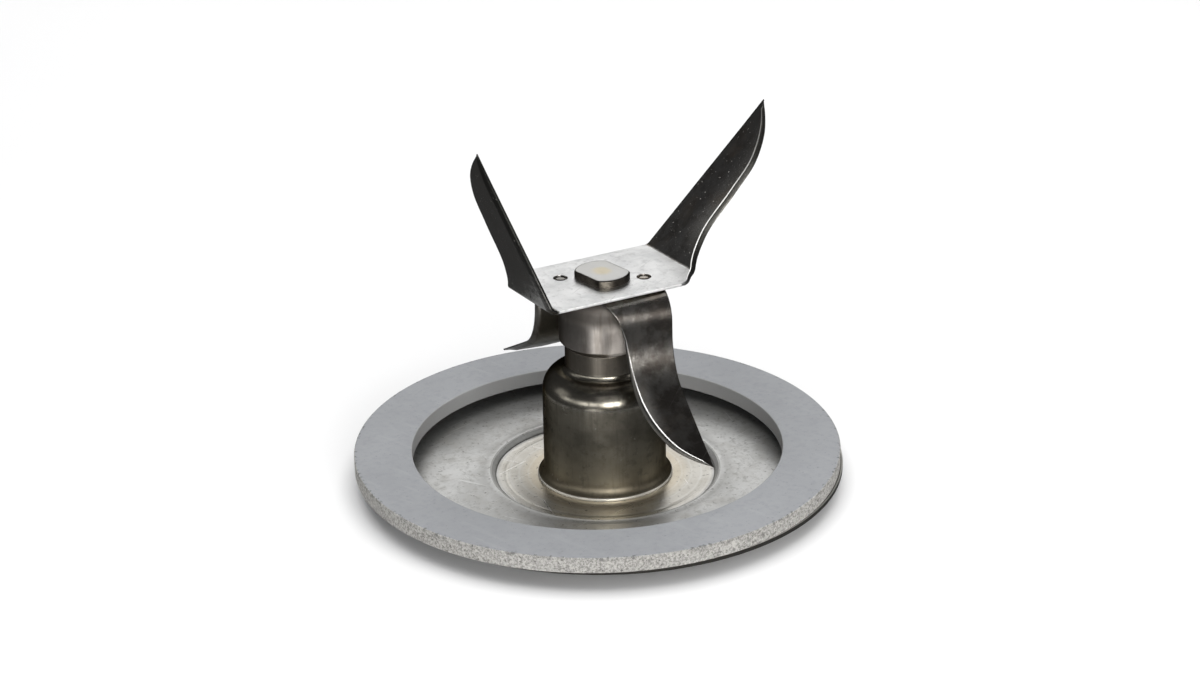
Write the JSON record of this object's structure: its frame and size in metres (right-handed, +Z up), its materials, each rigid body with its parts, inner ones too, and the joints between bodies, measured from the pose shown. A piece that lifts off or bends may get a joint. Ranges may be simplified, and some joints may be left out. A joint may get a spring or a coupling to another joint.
{
  "type": "blender blade assembly",
  "caption": "Blender blade assembly: crossed steel blades on a spinning shaft in a drawn bearing housing, standing on a dished round base plate with a loose grey sealing ring.",
  "frame": {"origin": "on the shaft axis, in the plane the part rests on (underside of the base plate's recess), 0.4 mm below the mouth of the drive socket", "axes": "+Z up along the shaft axis, away from the drive socket's mouth; +X along the upper blade's flatter arm; +Y completes a right-handed frame"},
  "size_m": [0.0765, 0.0762, 0.0609],
  "materials": {
    "plate_steel": "dull pressed stainless with fine scratches",
    "housing_steel": "dark polished stainless",
    "blade_steel": "polished stainless, ground edges",
    "shaft_steel": "turned steel, peened head",
    "collar_steel": "satin turned steel",
    "grey_rubber": "smooth satin top, rough cut edge",
    "black_rubber": "smooth",
    "bronze": "sintered",
    "felt": "oiled felt",
    "nylon": "plain",
    "sintered_steel": "sintered, oiled"
  },
  "bodies": {
    "base": {"base_plate": "plate_steel", "bearing_housing": "housing_steel", "sealing_ring": "grey_rubber", "upper_bearing": "bronze", "lower_bearing": "bronze", "oil_felt": "felt", "shaft_seal": "black_rubber", "neck_washer": "nylon"},
    "rotor": {"drive_shaft": "shaft_steel", "spacer_collar": "collar_steel", "lower_blade": "blade_steel", "upper_blade": "blade_steel", "thrust_washer": "nylon", "drive_coupling": "sintered_steel"}
  },
  "joints": [
    {"name": "rotor_spin", "type": "hinge", "parent": "base", "child": "rotor", "pos_m": [0, 0, 0.02], "axis": [0, 0, 1], "continuous": true}
  ]
}
